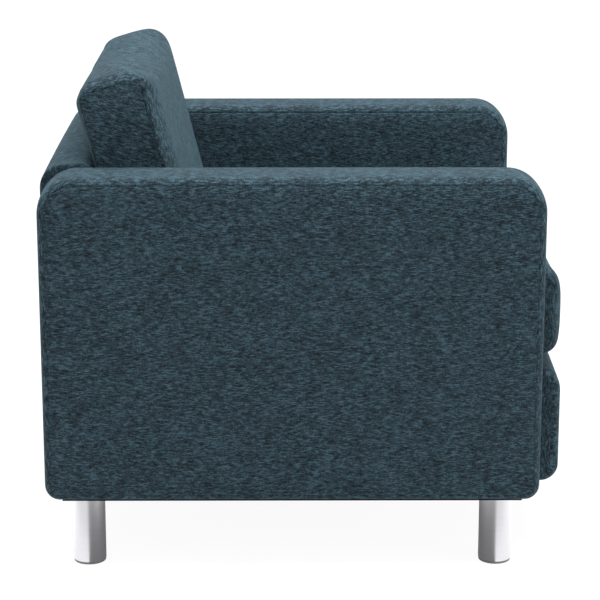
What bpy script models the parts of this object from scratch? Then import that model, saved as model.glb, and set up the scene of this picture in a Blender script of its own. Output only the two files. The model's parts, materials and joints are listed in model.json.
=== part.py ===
"""Upholstered armchair with a loose seat cushion, a loose leaning back cushion and four steel tube legs.

Metres, +Z up. The chair faces -Y, +X is its width, and the origin is on the floor under the middle of the
whole chair. Every physical piece is one object. The two cushions hang from empties on their lift axes.
"""

import math

import bmesh
import bpy
from mathutils import Matrix, Vector

# ---------------------------------------------------------------- driving dimensions
WIDTH = 0.728  # over both arms
ARM_THICK = 0.110
ARM_FRONT_Y = -0.365
ARM_REAR_Y = 0.401
ARM_TOP_Z = 0.622
BASE_Z = 0.1145  # underside of the arms
ARM_FRONT_TOP_R = 0.068
ARM_REAR_TOP_R = 0.044
ARM_BOTTOM_R = 0.022

LEG_R = 0.0254  # two inch tube
LEG_WALL = 0.0015
LEG_FRONT_Y = -0.300
LEG_REAR_Y = 0.336
GLIDE_H = 0.0036
STUD_R = 0.005
STUD_H = 0.016
BARREL_H = 0.017
TUBE_CAP = 0.003
GLIDE_PLUG_TOP = 0.012
GLIDE_EDGE = 0.0006

LEAN = math.radians(14.3)  # back cushion and back slope
LEAN_SLOPE = math.tan(LEAN)
LEAN_REF_Z = 0.6207  # height at which the next two are measured
CUSHION_FRONT_Y = 0.2005  # back cushion's front plane
CUSHION_REAR_Y = 0.3232  # back cushion's rear plane
BACK_CUSHION_REAR_TOP_Z = 0.738  # its two top corners before they are rounded
BACK_CUSHION_FRONT_TOP_Z = 0.772

BACK_REAR_Y = 0.405
BACK_TOP_Z = 0.624
BACK_WALL = 0.016

DECK_Z = 0.3075  # what the cushions stand on
SEAT_FRONT_Y = -0.4015
SEAT_TOP_Z = 0.460
RAIL_COVER_FRONT_Y = -0.405
RAIL_COVER_TOP_Z = 0.3065
RAIL_COVER_BOTTOM_Z = 0.107

BOARD = 0.022  # timber thickness
GAP = 0.0003  # between pieces that touch
COVER_WALL = 0.007  # cushion cover with its fibre wrap
SIDE_GAP = 0.0025  # cushion to arm

# ---------------------------------------------------------------- worked out from them
ARM_INNER_X = WIDTH / 2 - ARM_THICK
ARM_MID_X = WIDTH / 2 - ARM_THICK / 2
BAY_X = ARM_INNER_X - 0.0015  # half width of what stands between the arms
CUSHION_X = ARM_INNER_X - SIDE_GAP
SIDES = (("left", -1), ("right", 1))
UP = Vector((0, 0, 1))
ALONG_X = Vector((1, 0, 0))


def lean_y(reference_y, z):
    """Y at height z of a plane that leans back through reference_y at LEAN_REF_Z."""
    return reference_y + LEAN_SLOPE * (z - LEAN_REF_Z)


# ---------------------------------------------------------------- scene and helpers
for old in list(bpy.data.objects):
    bpy.data.objects.remove(old, do_unlink=True)

parts = bpy.data.collections.new("armchair")
bpy.context.scene.collection.children.link(parts)
cutters = bpy.data.collections.new("cutters")
bpy.context.scene.collection.children.link(cutters)

FINISHES = {  # colour, roughness, metallic
    "chenille": ((0.026, 0.052, 0.068), 0.90, 0.0),
    "timber": ((0.52, 0.36, 0.20), 0.70, 0.0),
    "foam": ((0.75, 0.70, 0.50), 0.95, 0.0),
    "cambric": ((0.012, 0.012, 0.013), 0.95, 0.0),
    "chrome": ((0.62, 0.62, 0.63), 0.28, 1.0),
    "steel": ((0.35, 0.35, 0.36), 0.40, 1.0),
    "nylon": ((0.05, 0.05, 0.05), 0.60, 0.0),
    "webbing": ((0.10, 0.09, 0.08), 0.90, 0.0),
}


def finish(obj, name):
    """Gives obj a material of its own with the named finish."""
    colour, roughness, metallic = FINISHES[name]
    material = bpy.data.materials.new(obj.name + "_" + name)
    material.use_nodes = True
    shader = material.node_tree.nodes["Principled BSDF"]
    shader.inputs["Base Color"].default_value = (*colour, 1.0)
    shader.inputs["Roughness"].default_value = roughness
    shader.inputs["Metallic"].default_value = metallic
    obj.data.materials.clear()
    obj.data.materials.append(material)


def add(name, mesh, finish_name, parent=None):
    """A part in the armchair's collection."""
    obj = bpy.data.objects.new(name, mesh)
    parts.objects.link(obj)
    if parent:
        obj.parent = parent
        obj.matrix_parent_inverse = parent.matrix_world.inverted()
    finish(obj, finish_name)
    return obj


def box_mesh(name, low, high):
    """A box between two corners."""
    low, high = Vector(low), Vector(high)
    bm = bmesh.new()
    bmesh.ops.create_cube(bm, size=1.0, matrix=Matrix.Diagonal((*(high - low), 1.0)))
    bmesh.ops.translate(bm, verts=bm.verts, vec=(low + high) / 2)
    mesh = bpy.data.meshes.new(name)
    bm.to_mesh(mesh)
    bm.free()
    return mesh


def board(name, low, high, finish_name="timber", parent=None):
    """A part that is a plain board between two corners."""
    return add(name, box_mesh(name, low, high), finish_name, parent)


def arc_corner(before, corner, after, radius, steps):
    """Points of the arc that rounds a corner between two straight edges."""
    corner = Vector(corner)
    to_before = (Vector(before) - corner).normalized()
    to_after = (Vector(after) - corner).normalized()
    half = to_before.angle(to_after) / 2
    centre = corner + (to_before + to_after).normalized() * (radius / math.sin(half))
    start = corner + to_before * (radius / math.tan(half)) - centre
    end = corner + to_after * (radius / math.tan(half)) - centre
    turn = start.angle_signed(end)
    points = []
    for i in range(steps + 1):
        angle = -turn * i / steps
        spin = Matrix.Rotation(angle, 2)
        points.append(centre + spin @ start)
    return points


def rounded(corners, steps=5):
    """A closed outline from (y, z, radius) corners, each rounded to its own radius."""
    outline = []
    for i, (y, z, radius) in enumerate(corners):
        before = corners[i - 1][:2]
        after = corners[(i + 1) % len(corners)][:2]
        if radius > 0:
            outline += arc_corner(before, (y, z), after, radius, steps)
        else:
            outline.append(Vector((y, z)))
    return outline


def plate(name, outline, thickness, matrix):
    """Mesh of a flat outline with a thickness, made as a filled 2D curve and turned by matrix."""
    curve = bpy.data.curves.new(name, "CURVE")
    curve.dimensions = "2D"
    curve.fill_mode = "BOTH"
    curve.extrude = thickness / 2
    spline = curve.splines.new("POLY")
    spline.points.add(len(outline) - 1)
    for point, place in zip(spline.points, outline):
        point.co = (place[0], place[1], 0.0, 1.0)
    spline.use_cyclic_u = True
    guide = bpy.data.objects.new(name + "_curve", curve)
    cutters.objects.link(guide)
    bpy.context.view_layer.update()
    made = guide.evaluated_get(bpy.context.evaluated_depsgraph_get())
    mesh = bpy.data.meshes.new_from_object(made)
    mesh.name = name
    bpy.data.objects.remove(guide)
    bpy.data.curves.remove(curve)
    bm = bmesh.new()
    bm.from_mesh(mesh)
    bmesh.ops.remove_doubles(bm, verts=bm.verts, dist=0.00001)
    bmesh.ops.transform(bm, verts=bm.verts, matrix=matrix)
    bmesh.ops.recalc_face_normals(bm, faces=bm.faces)
    bm.to_mesh(mesh)
    bm.free()
    return mesh


def across(name, outline, x_low, x_high):
    """An outline in the YZ plane carried along X from x_low to x_high."""
    turn = Matrix(((0, 0, 1, 0), (1, 0, 0, 0), (0, 1, 0, 0), (0, 0, 0, 1)))
    move = Matrix.Translation(((x_low + x_high) / 2, 0, 0))
    return plate(name, outline, x_high - x_low, move @ turn)


def upright(name, outline, z_low, z_high):
    """An outline in the XY plane carried up from z_low to z_high."""
    return plate(name, outline, z_high - z_low, Matrix.Translation((0, 0, (z_low + z_high) / 2)))


def soften(obj, width, segments=2):
    """Rounds an object's sharp edges, but not the small steps of its arcs."""
    bevel = obj.modifiers.new("soft_edges", "BEVEL")
    bevel.width = width
    bevel.segments = segments
    bevel.limit_method = "ANGLE"
    bevel.angle_limit = math.radians(50)


def cutter(name, mesh):
    """A shape that only takes material out of others, so it is never rendered."""
    obj = bpy.data.objects.new(name, mesh)
    cutters.objects.link(obj)
    obj.hide_render = True
    obj.display_type = "WIRE"
    return obj


def rod_cutter(name, centre, axis, radius, length, segments=16):
    """A round cutter about an axis through centre, whose flats clear the radius."""
    corner_r = radius / math.cos(math.pi / segments)
    bm = bmesh.new()
    bmesh.ops.create_cone(
        bm, cap_ends=True, segments=segments, radius1=corner_r, radius2=corner_r, depth=length
    )
    mesh = bpy.data.meshes.new(name)
    bm.to_mesh(mesh)
    bm.free()
    obj = cutter(name, mesh)
    turn = UP.rotation_difference(axis)
    obj.matrix_world = Matrix.Translation(centre) @ turn.to_matrix().to_4x4()
    return obj


def cut(obj, tool):
    """Takes the tool's volume out of obj."""
    boolean = obj.modifiers.new("cut_" + tool.name, "BOOLEAN")
    boolean.operation = "DIFFERENCE"
    boolean.solver = "EXACT"
    boolean.object = tool


def turned(name, profile, centre, finish_name, steps=20):
    """A profile of (radius, height) points, from the top down the outer side, turned about Z."""
    mesh = bpy.data.meshes.new(name)
    edges = [(i, i + 1) for i in range(len(profile) - 1)]
    mesh.from_pydata([(r, 0.0, z) for r, z in profile], edges, [])
    obj = add(name, mesh, finish_name)
    obj.location = centre
    screw = obj.modifiers.new("turned", "SCREW")
    screw.steps = steps
    screw.render_steps = steps
    screw.use_merge_vertices = True
    screw.merge_threshold = 0.00005
    screw.use_smooth_shade = True
    return obj


# ---------------------------------------------------------------- lift axes of the loose cushions
def lift_axis(name, place):
    """An empty at the foot of a loose cushion, which lifts off along it."""
    empty = bpy.data.objects.new(name, None)
    parts.objects.link(empty)
    empty.location = place
    bpy.context.view_layer.update()
    return empty


SEAT_LIFT_Y = -0.13
seat_lift = lift_axis("seat_lift_axis", (0.0, SEAT_LIFT_Y, DECK_Z))
back_lift_y = lean_y(0.5 * (CUSHION_FRONT_Y + CUSHION_REAR_Y), DECK_Z)
back_lift = lift_axis("back_lift_axis", (0.0, back_lift_y, DECK_Z))

# ---------------------------------------------------------------- arms
ARM_SIDE_WALL = 0.016
ARM_END_WALL = 0.025
ARM_TOP_WALL = 0.028
POST_DEPTH = 0.045
BOLT_R = 0.004
BOLT_PLAY = 0.0005
BOLT_Z = 0.205
BOLT_FRONT_Y = ARM_FRONT_Y + ARM_END_WALL + GAP + POST_DEPTH / 2
BOLT_REAR_Y = ARM_REAR_Y - ARM_END_WALL - GAP - POST_DEPTH / 2
PLATE_R = 0.028
PLATE_H = 0.003
BARREL_R = 0.009
ARM_RAIL_H = 0.040
HOLLOW_DROP = 0.010  # how far the arm's hollow runs out below it
DRILL = 0.160  # length of a bolt hole's cutter

arm_outline = rounded(
    (
        (ARM_FRONT_Y, BASE_Z, ARM_BOTTOM_R),
        (ARM_REAR_Y, BASE_Z, ARM_BOTTOM_R),
        (ARM_REAR_Y, ARM_TOP_Z, ARM_REAR_TOP_R),
        (ARM_FRONT_Y, ARM_TOP_Z, ARM_FRONT_TOP_R),
    ),
    steps=7,
)


def span(side, inner, outer):
    """X limits, low then high, of something between two distances from the middle of the chair."""
    return (inner, outer) if side > 0 else (-outer, -inner)


def leg_name(side_name, y):
    """A leg's name from its side and from whether it is in front of the origin."""
    return ("front_" if y < 0 else "rear_") + side_name


def make_arm(side_name, side):
    """One arm: padded cover open underneath, two posts, a top rail and a base board for the legs."""
    x0, x1 = span(side, ARM_INNER_X, WIDTH / 2)
    cover = add("arm_cover_" + side_name, across("arm_cover", arm_outline, x0, x1), "chenille")
    soften(cover, 0.008)

    inner, outer = ARM_INNER_X + ARM_SIDE_WALL, WIDTH / 2 - ARM_SIDE_WALL
    c0, c1 = span(side, inner, outer)
    front, rear = ARM_FRONT_Y + ARM_END_WALL, ARM_REAR_Y - ARM_END_WALL
    top = ARM_TOP_Z - ARM_TOP_WALL
    low = (c0, front, BASE_Z - HOLLOW_DROP)
    cut(cover, cutter("arm_hollow_" + side_name, box_mesh("arm_hollow", low, (c1, rear, top))))

    w0, w1 = span(side, inner + GAP, outer - GAP)
    base = board(
        "arm_base_" + side_name,
        (w0, front + GAP, BASE_Z),
        (w1, rear - GAP, BASE_Z + BOARD),
    )
    post_low = BASE_Z + BOARD + GAP
    rail_low = top - GAP - ARM_RAIL_H
    posts = []
    for place, y in (("front", BOLT_FRONT_Y), ("rear", BOLT_REAR_Y)):
        posts.append(
            board(
                "arm_" + place + "_post_" + side_name,
                (w0, y - POST_DEPTH / 2, post_low),
                (w1, y + POST_DEPTH / 2, rail_low - GAP),
            )
        )
    board("arm_top_rail_" + side_name, (w0, front + GAP, rail_low), (w1, rear - GAP, top - GAP))

    for y in (LEG_FRONT_Y, LEG_REAR_Y):
        name = leg_name(side_name, y)
        centre = (side * ARM_MID_X, y, BASE_Z)
        seat_depth = PLATE_H + 2 * GAP
        cut(base, rod_cutter("plate_seat_" + name, centre, UP, PLATE_R + GAP, 2 * seat_depth))
        cut(base, rod_cutter("barrel_hole_" + name, centre, UP, BARREL_R + GAP, DRILL))
    for post, y in zip(posts, (BOLT_FRONT_Y, BOLT_REAR_Y)):
        tool = rod_cutter(
            "bolt_hole_" + leg_name(side_name, y),
            (side * ARM_INNER_X, y, BOLT_Z),
            ALONG_X,
            BOLT_R + BOLT_PLAY,
            DRILL,
            12,
        )
        cut(cover, tool)
        cut(post, tool)


for side_name, side in SIDES:
    make_arm(side_name, side)


# ---------------------------------------------------------------- legs
def make_leg(side_name, side, y):
    """A closed-top tube with a welded stud, the nylon glide in its foot and the threaded plate in the arm."""
    name = leg_name(side_name, y)
    centre = (side * ARM_MID_X, y, 0.0)
    top = BASE_Z - GAP
    cap_under = top - TUBE_CAP
    bore = LEG_R - LEG_WALL
    stud_top = BASE_Z + STUD_H
    turned(
        "leg_" + name,
        (
            (0.0, stud_top),
            (STUD_R, stud_top),
            (STUD_R, top),
            (LEG_R, top),
            (LEG_R, GLIDE_H + GAP),
            (bore, GLIDE_H + GAP),
            (bore, cap_under),
            (0.0, cap_under),
        ),
        centre,
        "chrome",
        24,
    )
    turned(
        "leg_glide_" + name,
        (
            (0.0, GLIDE_PLUG_TOP),
            (bore - GAP, GLIDE_PLUG_TOP),
            (bore - GAP, GLIDE_H),
            (LEG_R, GLIDE_H),
            (LEG_R, GLIDE_EDGE),
            (LEG_R - GLIDE_EDGE, 0.0),
            (0.0, 0.0),
        ),
        centre,
        "nylon",
        24,
    )
    hole = STUD_R + GAP
    barrel_top = BASE_Z + BARREL_H
    turned(
        "leg_plate_" + name,
        (
            (hole, barrel_top),
            (BARREL_R, barrel_top),
            (BARREL_R, BASE_Z + PLATE_H),
            (PLATE_R, BASE_Z + PLATE_H),
            (PLATE_R, BASE_Z),
            (hole, BASE_Z),
            (hole, barrel_top),
        ),
        centre,
        "steel",
    )


for side_name, side in SIDES:
    for leg_y in (LEG_FRONT_Y, LEG_REAR_Y):
        make_leg(side_name, side, leg_y)

# ---------------------------------------------------------------- seat frame
RAIL_FRONT_Y = -0.3782
REAR_RAIL_Y = 0.2075
RAIL_LOW = 0.1182
RAIL_TOP = 0.2900
SIDE_RAIL_TOP = 0.2620
SPRING_Z = 0.2830
SPRING_RISE = 0.006
SPRING_WIRE_R = 0.0019
SPRING_X = (-0.168, -0.056, 0.056, 0.168)
SPRING_WAVES = 9
SPRING_SWING = 0.022
SPRING_END = 0.003  # from a spring's end to its rail
BLOCK = 0.055
BLOCK_LOW = 0.006  # above the rails' underside
BLOCK_HIGH = 0.072
DECK_PAD_UNDER = 0.004  # above the rails' top
DECK_PAD_FRONT_Y = -0.3440
DECK_PAD_REAR_Y = 0.2300
DUST_COVER = 0.002
DUST_FRONT_Y = -0.3490
DUST_REAR_Y = 0.3860
RAIL_COVER_LIP_Y = -0.3500  # where the rail's cover ends underneath
RAIL_COVER_REAR_Y = -0.3450  # where it ends on top

rail_inner_y = RAIL_FRONT_Y + BOARD
board("seat_rail_front", (-BAY_X, RAIL_FRONT_Y, RAIL_LOW), (BAY_X, rail_inner_y, RAIL_TOP))
board("seat_rail_rear", (-BAY_X, REAR_RAIL_Y, RAIL_LOW), (BAY_X, REAR_RAIL_Y + BOARD, RAIL_TOP))

side_rails = {}
for side_name, side in SIDES:
    x0, x1 = span(side, BAY_X - BOARD, BAY_X)
    side_rails[side_name] = board(
        "seat_rail_" + side_name,
        (x0, rail_inner_y + GAP, RAIL_LOW),
        (x1, REAR_RAIL_Y - GAP, SIDE_RAIL_TOP),
    )
    cut(side_rails[side_name], bpy.data.objects["bolt_hole_front_" + side_name])


def corner_block(name, side, y, inward):
    """A triangular glue block in a corner of the seat frame."""
    x = side * (BAY_X - BOARD - GAP)
    triangle = [Vector((x, y)), Vector((x - side * BLOCK, y)), Vector((x, y + inward * BLOCK))]
    add(name, upright(name, triangle, RAIL_LOW + BLOCK_LOW, RAIL_LOW + BLOCK_HIGH), "timber")


for side_name, side in SIDES:
    corner_block("corner_block_front_" + side_name, side, rail_inner_y + GAP, 1)
    corner_block("corner_block_rear_" + side_name, side, REAR_RAIL_Y - GAP, -1)


def sinuous_spring(name, x):
    """A flat zigzag wire from the front rail to the rear rail, arched a little upward."""
    start, end = rail_inner_y + SPRING_END, REAR_RAIL_Y - SPRING_END
    curve = bpy.data.curves.new(name, "CURVE")
    curve.dimensions = "3D"
    curve.bevel_depth = SPRING_WIRE_R
    curve.bevel_resolution = 2
    curve.use_fill_caps = True
    per_wave = 6
    count = SPRING_WAVES * per_wave + 1
    spline = curve.splines.new("POLY")
    spline.points.add(count - 1)
    for i in range(count):
        t = i / (count - 1)
        swing = max(-1.0, min(1.0, 1.5 * math.sin(2 * math.pi * SPRING_WAVES * t)))
        height = SPRING_Z + SPRING_RISE * math.sin(math.pi * t)
        spline.points[i].co = (x + SPRING_SWING * swing, start + (end - start) * t, height, 1.0)
    wire = bpy.data.objects.new(name, curve)
    parts.objects.link(wire)
    finish(wire, "steel")


for number, spring_x in enumerate(SPRING_X, 1):
    sinuous_spring("seat_spring_%d" % number, spring_x)

deck_low = RAIL_TOP + DECK_PAD_UNDER
board("deck_pad", (-BAY_X, DECK_PAD_FRONT_Y, deck_low), (BAY_X, DECK_PAD_REAR_Y, DECK_Z), "cambric")
dust_low = BASE_Z - DUST_COVER
board("dust_cover", (-BAY_X, DUST_FRONT_Y, dust_low), (BAY_X, DUST_REAR_Y, BASE_Z), "cambric")

rail_cover_outline = rounded(
    (
        (RAIL_COVER_FRONT_Y, RAIL_COVER_BOTTOM_Z, 0.016),
        (RAIL_COVER_LIP_Y, RAIL_COVER_BOTTOM_Z, 0),
        (RAIL_COVER_LIP_Y, RAIL_LOW - GAP, 0),
        (RAIL_FRONT_Y - GAP, RAIL_LOW - GAP, 0),
        (RAIL_FRONT_Y - GAP, RAIL_TOP + GAP, 0),
        (RAIL_COVER_REAR_Y, RAIL_TOP + GAP, 0),
        (RAIL_COVER_REAR_Y, RAIL_COVER_TOP_Z, 0),
        (RAIL_COVER_FRONT_Y, RAIL_COVER_TOP_Z, 0.022),
    )
)
add("front_rail_cover", across("front_rail_cover", rail_cover_outline, -BAY_X, BAY_X), "chenille")

# ---------------------------------------------------------------- back frame
POST_X = 0.030
BACK_POST_BOTTOM_Z = BASE_Z + GAP
BACK_LOW_FRONT_Y = 0.262
BACK_LOW_Z_FRONT = 0.300  # where the sloping face ends
BACK_CLEAR = 0.004  # from the back cushion to the back
POST_STEP = 0.020
BACK_TOP_RAIL_H = 0.060
BACK_BOTTOM_RAIL_TOP = 0.200
LUMBAR_Y = 0.2655
LUMBAR_LOW_Z = 0.240
LUMBAR_TOP_Z = 0.295
STRAP_ROOM = 0.004


def back_front(z):
    """Y of the back cover's sloping front face at height z."""
    return lean_y(CUSHION_REAR_Y, z) + BACK_CLEAR


def wall_y(y_shift):
    """Shift along Y that moves the sloping face y_shift square to itself."""
    return y_shift / math.cos(LEAN)


inner_top = BACK_TOP_Z - BACK_WALL
inner_rear = BACK_REAR_Y - BACK_WALL
cover_outline = rounded(
    (
        (back_front(BACK_LOW_Z_FRONT), BACK_LOW_Z_FRONT, 0),
        (back_front(BACK_LOW_Z_FRONT) + wall_y(BACK_WALL), BACK_LOW_Z_FRONT, 0),
        (back_front(inner_top) + wall_y(BACK_WALL), inner_top, 0),
        (inner_rear, inner_top, 0),
        (inner_rear, dust_low, 0),
        (BACK_REAR_Y, dust_low, 0.010),
        (BACK_REAR_Y, BACK_TOP_Z, 0.020),
        (back_front(BACK_TOP_Z), BACK_TOP_Z, 0.020),
    )
)
add("back_cover", across("back_cover", cover_outline, -BAY_X, BAY_X), "chenille")

post_face = wall_y(BACK_WALL + STRAP_ROOM)
post_top = inner_top - GAP
post_rear = inner_rear - GAP
post_outline = [
    Vector((BACK_LOW_FRONT_Y, BACK_POST_BOTTOM_Z)),
    Vector((post_rear, BACK_POST_BOTTOM_Z)),
    Vector((post_rear, post_top)),
    Vector((back_front(post_top) + post_face, post_top)),
    Vector((back_front(BACK_LOW_Z_FRONT) + post_face, BACK_LOW_Z_FRONT)),
    Vector((BACK_LOW_FRONT_Y, BACK_LOW_Z_FRONT - POST_STEP)),
]
for side_name, side in SIDES:
    x0, x1 = span(side, BAY_X - POST_X, BAY_X)
    post = add("back_post_" + side_name, across("back_post", post_outline, x0, x1), "timber")
    cut(post, bpy.data.objects["bolt_hole_rear_" + side_name])

rail_x = BAY_X - POST_X - GAP
top_rail_low = (-rail_x, post_rear - BOARD, post_top - BACK_TOP_RAIL_H)
board("back_top_rail", top_rail_low, (rail_x, post_rear, post_top))
bottom_rail_low = (-rail_x, post_rear - BOARD, BACK_POST_BOTTOM_Z)
board("back_bottom_rail", bottom_rail_low, (rail_x, post_rear, BACK_BOTTOM_RAIL_TOP))
board("back_lumbar_rail", (-rail_x, LUMBAR_Y, LUMBAR_LOW_Z), (rail_x, LUMBAR_Y + BOARD, LUMBAR_TOP_Z))

STRAP_H = 0.050
STRAP_THICK = 0.002
STRAP_HEIGHTS = (0.365, 0.450, 0.535)
for number, strap_z in enumerate(STRAP_HEIGHTS, 1):
    strap_y = back_front(strap_z) + wall_y(BACK_WALL + STRAP_ROOM / 2)
    half = Vector((BAY_X, STRAP_THICK / 2, STRAP_H / 2))
    strap = board("back_strap_%d" % number, -half, half, "webbing")
    strap.location = (0.0, strap_y, strap_z)
    strap.rotation_euler = (-LEAN, 0.0, 0.0)


# ---------------------------------------------------------------- bolts
def make_bolt(name, side, y, head_x):
    """A hexagon bolt along X, its head inside the chair."""
    head_h, head_r, length = 0.005, 0.0075, 0.070
    profile = (
        (0.0, 0.0),
        (BOLT_R, 0.0),
        (BOLT_R, -length),
        (head_r, -length),
        (head_r, -length - head_h),
        (0.0, -length - head_h),
    )
    bolt = turned(name, profile, (0, 0, 0), "steel", 12)
    tip = Vector((side * (head_x + length), y, BOLT_Z))
    bolt.matrix_world = Matrix.Translation(tip) @ Matrix.Rotation(side * math.pi / 2, 4, "Y")


for side_name, side in SIDES:
    make_bolt("arm_bolt_front_" + side_name, side, BOLT_FRONT_Y, BAY_X - BOARD - GAP)
    make_bolt("arm_bolt_rear_" + side_name, side, BOLT_REAR_Y, BAY_X - POST_X - GAP)

# ---------------------------------------------------------------- cushions
ZIP_X = 0.190
ZIP_H = 0.010
SLOT_DEPTH = 0.9 * COVER_WALL  # to each side of the middle of the wall, so it cuts right through


def inset(corners, wall, radius_cut):
    """The same convex outline moved inward by wall on every edge."""
    moved = []
    count = len(corners)
    for i, (y, z, radius) in enumerate(corners):
        here = Vector((y, z))
        a = (here - Vector(corners[i - 1][:2])).normalized()
        b = (Vector(corners[(i + 1) % count][:2]) - here).normalized()
        left_a, left_b = Vector((-a.y, a.x)), Vector((-b.y, b.x))
        shift = (left_a + left_b) * (wall / (1 + left_a.dot(left_b)))
        moved.append((here.x + shift.x, here.y + shift.y, max(radius - radius_cut, 0.004)))
    return moved


def make_cushion(name, corners, parent, zip_centre, zip_tilt):
    """A cover with its foam inside and a closed zip across the slot that the foam goes in by."""
    cover = add(name + "_cover", across(name, rounded(corners), -CUSHION_X, CUSHION_X), "chenille", parent)
    soften(cover, 0.006)
    hollow = inset(corners, COVER_WALL, COVER_WALL)
    hollow_x = CUSHION_X - COVER_WALL
    cut(cover, cutter(name + "_hollow", across(name + "_hollow", rounded(hollow), -hollow_x, hollow_x)))
    foam = inset(corners, COVER_WALL + GAP, COVER_WALL)
    foam_x = hollow_x - GAP
    add(name + "_core", across(name + "_core", rounded(foam), -foam_x, foam_x), "foam", parent)

    place = Matrix.Translation(zip_centre) @ Matrix.Rotation(zip_tilt, 4, "X")
    corner = Vector((ZIP_X, SLOT_DEPTH, ZIP_H / 2))
    slot = cutter(name + "_slot", box_mesh(name + "_slot", -corner, corner))
    slot.matrix_world = place
    cut(cover, slot)
    half = Vector((ZIP_X - GAP, COVER_WALL / 2 - GAP, ZIP_H / 2 - GAP))
    closure = add(name + "_zip", box_mesh(name + "_zip", -half, half), "nylon")
    closure.matrix_world = place
    closure.parent = parent
    closure.matrix_parent_inverse = parent.matrix_world.inverted()


SEAT_LOW_Z = DECK_Z + 0.005
BACK_LOW_Z = DECK_Z + 0.001
SEAT_TO_BACK = 0.008
SEAT_ZIP_Z = 0.385


def seat_rear(z):
    """Y of the seat cushion's rear face, which follows the lean of the back cushion."""
    return lean_y(CUSHION_FRONT_Y, z) - SEAT_TO_BACK


seat_corners = (
    (SEAT_FRONT_Y, SEAT_LOW_Z, 0.014),
    (seat_rear(SEAT_LOW_Z), SEAT_LOW_Z, 0.012),
    (seat_rear(SEAT_TOP_Z), SEAT_TOP_Z, 0.020),
    (SEAT_FRONT_Y, SEAT_TOP_Z, 0.035),
)
seat_zip = (0.0, seat_rear(SEAT_ZIP_Z) - COVER_WALL / 2 / math.cos(LEAN), SEAT_ZIP_Z)
make_cushion("seat_cushion", seat_corners, seat_lift, seat_zip, -LEAN)

back_corners = (
    (lean_y(CUSHION_FRONT_Y, BACK_LOW_Z), BACK_LOW_Z, 0.020),
    (lean_y(CUSHION_REAR_Y, BACK_LOW_Z), BACK_LOW_Z, 0.012),
    (lean_y(CUSHION_REAR_Y, BACK_CUSHION_REAR_TOP_Z), BACK_CUSHION_REAR_TOP_Z, 0.018),
    (lean_y(CUSHION_FRONT_Y, BACK_CUSHION_FRONT_TOP_Z), BACK_CUSHION_FRONT_TOP_Z, 0.026),
)
back_middle_y = lean_y(0.5 * (CUSHION_FRONT_Y + CUSHION_REAR_Y), BACK_LOW_Z)
back_zip = (0.0, back_middle_y, BACK_LOW_Z + COVER_WALL / 2)
make_cushion("back_cushion", back_corners, back_lift, back_zip, math.pi / 2)
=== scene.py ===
# %% [markdown]
# # An upholstered armchair, dressed around its frame
# The frame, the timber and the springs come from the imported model. This script makes what the eye sees:
# the covers with their seams, the two loose cushions, the tube legs and every finish.
# A cover is not a block. It is cloth stretched over foam, so its faces swell between the seams, its edges
# roll, and each seam is a small valley where two cut panels turn inwards.

# %% Load the frame
import json
import math

import bmesh
import bpy
import numpy as np
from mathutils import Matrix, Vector


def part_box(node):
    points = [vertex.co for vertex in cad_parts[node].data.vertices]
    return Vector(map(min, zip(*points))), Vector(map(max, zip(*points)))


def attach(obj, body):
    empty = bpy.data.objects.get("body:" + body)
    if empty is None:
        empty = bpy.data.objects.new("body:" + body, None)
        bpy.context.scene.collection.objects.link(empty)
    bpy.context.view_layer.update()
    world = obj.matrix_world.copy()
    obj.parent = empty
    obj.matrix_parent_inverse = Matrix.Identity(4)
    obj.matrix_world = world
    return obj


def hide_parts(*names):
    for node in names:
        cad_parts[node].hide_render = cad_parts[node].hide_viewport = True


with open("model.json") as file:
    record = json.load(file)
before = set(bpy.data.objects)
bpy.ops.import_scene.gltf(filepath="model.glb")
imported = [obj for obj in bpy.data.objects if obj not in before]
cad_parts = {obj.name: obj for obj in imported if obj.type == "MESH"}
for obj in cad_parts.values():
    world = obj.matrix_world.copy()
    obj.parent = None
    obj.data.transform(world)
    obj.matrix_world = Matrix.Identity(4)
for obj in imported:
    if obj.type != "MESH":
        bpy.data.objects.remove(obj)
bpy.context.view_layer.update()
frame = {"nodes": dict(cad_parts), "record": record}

# %% [markdown]
# ## Colours and nodes
# A finish starts from a colour that a person would pick on a screen, in sRGB. The shaders work in linear
# light, so one function turns the first into the second. A second one adds a node with its settings and
# its links, which is all that a node tree needs.


# %% Colour and node helpers
def linear(hex_colour):
    """Linear RGBA of an sRGB hex colour: c / 12.92 in the darks, else ((c + 0.055) / 1.055) to the 2.4."""
    srgb = np.array([int(hex_colour[i : i + 2], 16) for i in (1, 3, 5)]) / 255.0
    value = np.where(srgb <= 0.04045, srgb / 12.92, ((srgb + 0.055) / 1.055) ** 2.4)
    return (*value.tolist(), 1.0)


def put(tree, kind, inputs=None, **settings):
    """Adds a node; inputs maps a socket's name or number to a value or to the socket that feeds it."""
    made = tree.nodes.new("ShaderNode" + kind)
    for name, value in settings.items():
        setattr(made, name, value)
    for key, value in (inputs or {}).items():
        if isinstance(value, bpy.types.NodeSocket):
            tree.links.new(value, made.inputs[key])
        else:
            made.inputs[key].default_value = value
    return made


def finish_named(name, **sockets):
    """A new material and its shader, with the sockets that are the same all over the surface set on it."""
    material = bpy.data.materials.new(name)
    material.use_nodes = True
    shader = material.node_tree.nodes["Principled BSDF"]
    for key, value in sockets.items():
        shader.inputs[key.replace("_", " ")].default_value = value
    return material, material.node_tree, shader


def ramp(tree, factor, stops):
    """A colour ramp over factor from (position, hex colour) stops."""
    made = put(tree, "ValToRGB", {"Fac": factor})
    elements = made.color_ramp.elements
    while len(elements) < len(stops):
        elements.new(0.5)
    for element, (position, hex_colour) in zip(elements, stops):
        element.position = position
        element.color = linear(hex_colour)
    return made.outputs["Color"]


def maths(tree, operation, first, second=0.0, third=0.0):
    """The output of one sum on sockets or numbers."""
    return put(tree, "Math", {0: first, 1: second, 2: third}, operation=operation).outputs[0]


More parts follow.
